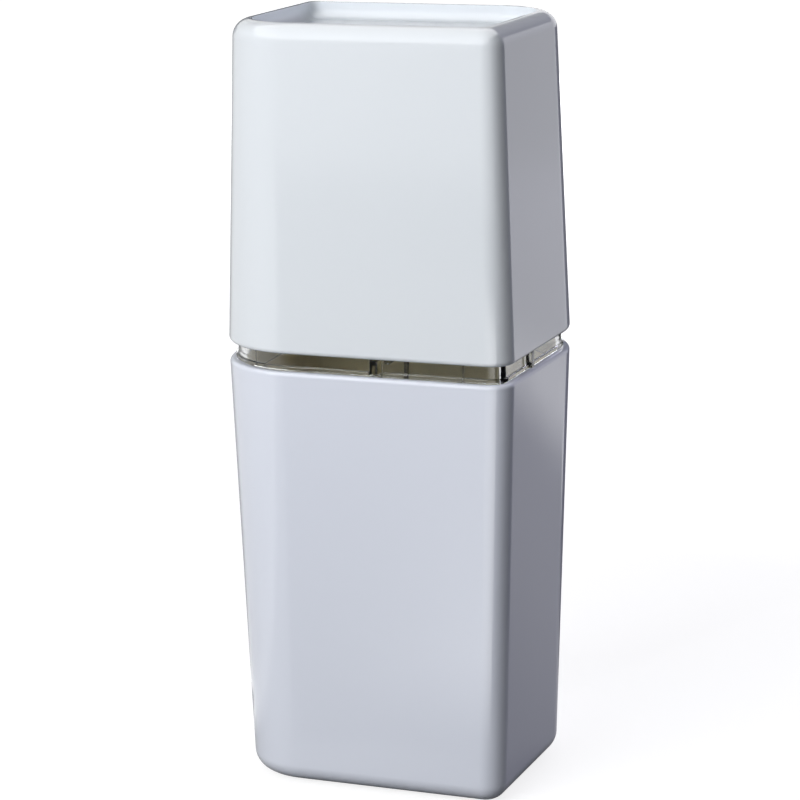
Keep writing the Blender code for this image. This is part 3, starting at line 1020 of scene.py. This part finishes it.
# %% Finishes of the cards and the board
BOARD_STRENGTH = 3.2
BOARD_BY_BEARING = (radians(-28.0), radians(22.0), 0.0, BOARD_STRENGTH)
BOARD_BY_RUN = (0.06, 0.14, 0.0, 1.0)
black_card, _, card_shader, _ = new_material("black_card", (0.012, 0.012, 0.014))
card_shader.inputs["Roughness"].default_value = 0.9


def glowing(name, strength):
    """A card that shows as an even grey or white, however the lamps fall on it."""
    made, _, shader, _ = new_material(name, (0.0, 0.0, 0.0))
    shader.inputs["Specular IOR Level"].default_value = 0.0
    shader.inputs["Emission Color"].default_value = WHITE
    shader.inputs["Emission Strength"].default_value = strength
    return made


def graded_board():
    """A white board on the floor whose strength rises from left to right and outwards."""
    made = glowing("graded_board", BOARD_STRENGTH)
    tree = made.node_tree
    split = add_node(tree, "ShaderNodeSeparateXYZ")
    place = tree.nodes["Texture Coordinate"].outputs["Object"]
    feed(tree, split.inputs["Vector"], place)
    to_front = compute(tree, "MULTIPLY", split.outputs["Y"], -1.0)
    bearing = compute(tree, "ARCTAN2", split.outputs["X"], to_front)
    by_bearing = rise_with(tree, bearing, *BOARD_BY_BEARING)
    by_run = rise_with(tree, measure(tree, "LENGTH", place), *BOARD_BY_RUN)
    strength = tree.nodes["Principled BSDF"].inputs["Emission Strength"]
    feed(tree, strength, compute(tree, "MULTIPLY", by_bearing, by_run))
    return made


grey_card = glowing("grey_card", 0.26)
pale_card = glowing("pale_card", 0.4)
white_board = graded_board()
print("finishes:", ", ".join(m.name for m in (black_card, grey_card, pale_card, white_board)))

# %% Cards round the object
CARD_STEPS = 24
JUST_OVER_FLOOR = 0.001
BACK_EDGES = ((0.05, JUST_OVER_FLOOR), (0.22, JUST_OVER_FLOOR), (0.22, 0.19))
CARDS = (  # name, finish, first and last azimuth, edges as (distance, height), two or more
    ("right_card", black_card, 50.0, 127.0, ((0.15, JUST_OVER_FLOOR), (0.15, 0.36))),
    ("back_card", black_card, 160.0, 200.0, BACK_EDGES),
    ("left_back_card", pale_card, 200.0, 240.0, BACK_EDGES),
    ("left_base_card", pale_card, 240.0, 260.0, ((0.045, JUST_OVER_FLOOR), (0.08, JUST_OVER_FLOOR))),
    ("low_back_card", black_card, 190.0, 240.0, ((0.22, 0.19), (0.22, 0.232))),
    ("high_card", grey_card, 145.0, 198.0, ((0.6, 0.335), (0.6, 0.55))),
    ("board", white_board, -28.0, 43.0, ((0.06, JUST_OVER_FLOOR), (1.6, JUST_OVER_FLOOR))),
)


def add_card(name, finish, first, last, edges):
    """A strip round the object from the first azimuth to the last, seen by gloss alone."""
    skin = bmesh.new()
    columns = []
    for step in range(CARD_STEPS + 1):
        turn = radians(first + (last - first) * step / CARD_STEPS)
        spots = [(sin(turn) * run, -cos(turn) * run, rise) for run, rise in edges]
        columns.append([skin.verts.new(spot) for spot in spots])
    for near, far in zip(columns, columns[1:]):
        for i in range(len(edges) - 1):
            skin.faces.new((near[i], far[i], far[i + 1], near[i + 1]))
    card = add_plain(name, skin, finish)
    card.visible_camera = card.visible_diffuse = card.visible_shadow = card.visible_transmission = False
    print(name, "from", first, "to", last, "degrees")


for card_values in CARDS:
    add_card(*card_values)

# %% [markdown]
# ## Lamps
# Soft lamps, as in a product studio. The key stands close in front on the left, so its light fades
# down the stand. A violet one behind the right side gives that side its cool shade. The tight front
# right corner faces neither, so it turns dark between two bright faces. A lamp from behind keeps the
# back white for the other views, and doesn't reach the faces in the picture.
#
# A wide box overhead is seen by gloss alone. It starts 24 degrees above the horizon in front, and
# its edge draws the soft highlight along the rounded top and the bright line on the stand's rim.

# %% Soft lamps
AIM = Vector((0.0, 0.0, 0.10))
WHITE_LIGHT = (1.0, 1.0, 1.0)
COOL_LIGHT = (0.88, 0.88, 1.0)
VIOLET_LIGHT = (0.81, 0.79, 1.0)
LAMPS = (  # name, azimuth, elevation, distance, width, height, watts, colour, rays that see it
    ("key", -21.0, 26.0, 0.8, 0.62, 0.62, 6.9, WHITE_LIGHT, "diffuse"),
    ("shine", -30.0, 82.0, 0.8, 1.6, 2.56, 29.6, WHITE_LIGHT, "glossy"),
    ("side", 160.0, 20.0, 1.3, 0.6, 0.6, 8.5, VIOLET_LIGHT, "diffuse"),
    ("back", -165.0, 8.0, 1.5, 0.9, 0.5, 12.0, WHITE_LIGHT, "diffuse"),
    ("fill", 55.0, 25.0, 1.3, 0.8, 0.8, 1.0, COOL_LIGHT, "diffuse"),
)


def add_lamp(name, azimuth, elevation, distance, width, height, watts, colour, seen_by):
    """A soft lamp; azimuth 0 is in front of the object, and 90 to its right."""
    light = bpy.data.lights.new(name, "AREA")
    light.shape = "RECTANGLE"
    light.size, light.size_y = width, height
    light.energy = watts
    light.color = colour
    lamp = bpy.data.objects.new(name, light)
    turn, climb = radians(azimuth), radians(elevation)
    towards = Vector((sin(turn) * cos(climb), -cos(turn) * cos(climb), sin(climb)))
    lamp.location = AIM + towards * distance
    lamp.rotation_mode = "QUATERNION"
    lamp.rotation_quaternion = (-towards).to_track_quat("-Z", "Y")
    lamp.visible_camera = False
    lamp.visible_glossy = seen_by == "glossy"
    lamp.visible_diffuse = seen_by == "diffuse"
    bpy.context.scene.collection.objects.link(lamp)
    return lamp


for lamp_values in LAMPS:
    add_lamp(*lamp_values)
print("lamps:", ", ".join(values[0] for values in LAMPS))

# %% [markdown]
# ## Camera
# The camera stands where the photograph's camera stood, which was found from the outlines of the
# case: to the right of the front, a little above, and rolled by less than a degree. A long lens
# from about 81 cm keeps the upright edges almost parallel.

# %% Camera
FOCAL_LENGTH, SENSOR_WIDTH = 138.80, 36.0
TURN, PITCH, ROLL = radians(21.32), radians(12.94), radians(-0.94)
DISTANCE = 813.10 * MM
SIDE_STEP, UP_STEP = -0.38 * MM, -1.55 * MM
LOOK_AT = Vector((0.0, 0.0, 100.5 * MM))
NEAREST_SEEN = 50.0 * MM

ahead = Vector((-sin(TURN) * cos(PITCH), cos(TURN) * cos(PITCH), -sin(PITCH)))
level_right = Vector((cos(TURN), sin(TURN), 0.0))
level_up = level_right.cross(ahead)
right = level_right * cos(ROLL) + level_up * sin(ROLL)
up = level_up * cos(ROLL) - level_right * sin(ROLL)
camera = bpy.data.objects.new("camera", bpy.data.cameras.new("camera"))
camera.data.lens = FOCAL_LENGTH
camera.data.sensor_width = SENSOR_WIDTH
camera.data.clip_start = NEAREST_SEEN
camera.matrix_world = Matrix.LocRotScale(
    LOOK_AT - ahead * DISTANCE + right * SIDE_STEP + up * UP_STEP,
    Matrix((right, up, -ahead)).transposed(),
    None,
)
bpy.context.scene.collection.objects.link(camera)
bpy.context.scene.camera = camera
bpy.context.scene.view_settings.view_transform = "Standard"
print("camera at", [round(value, 3) for value in camera.matrix_world.translation])
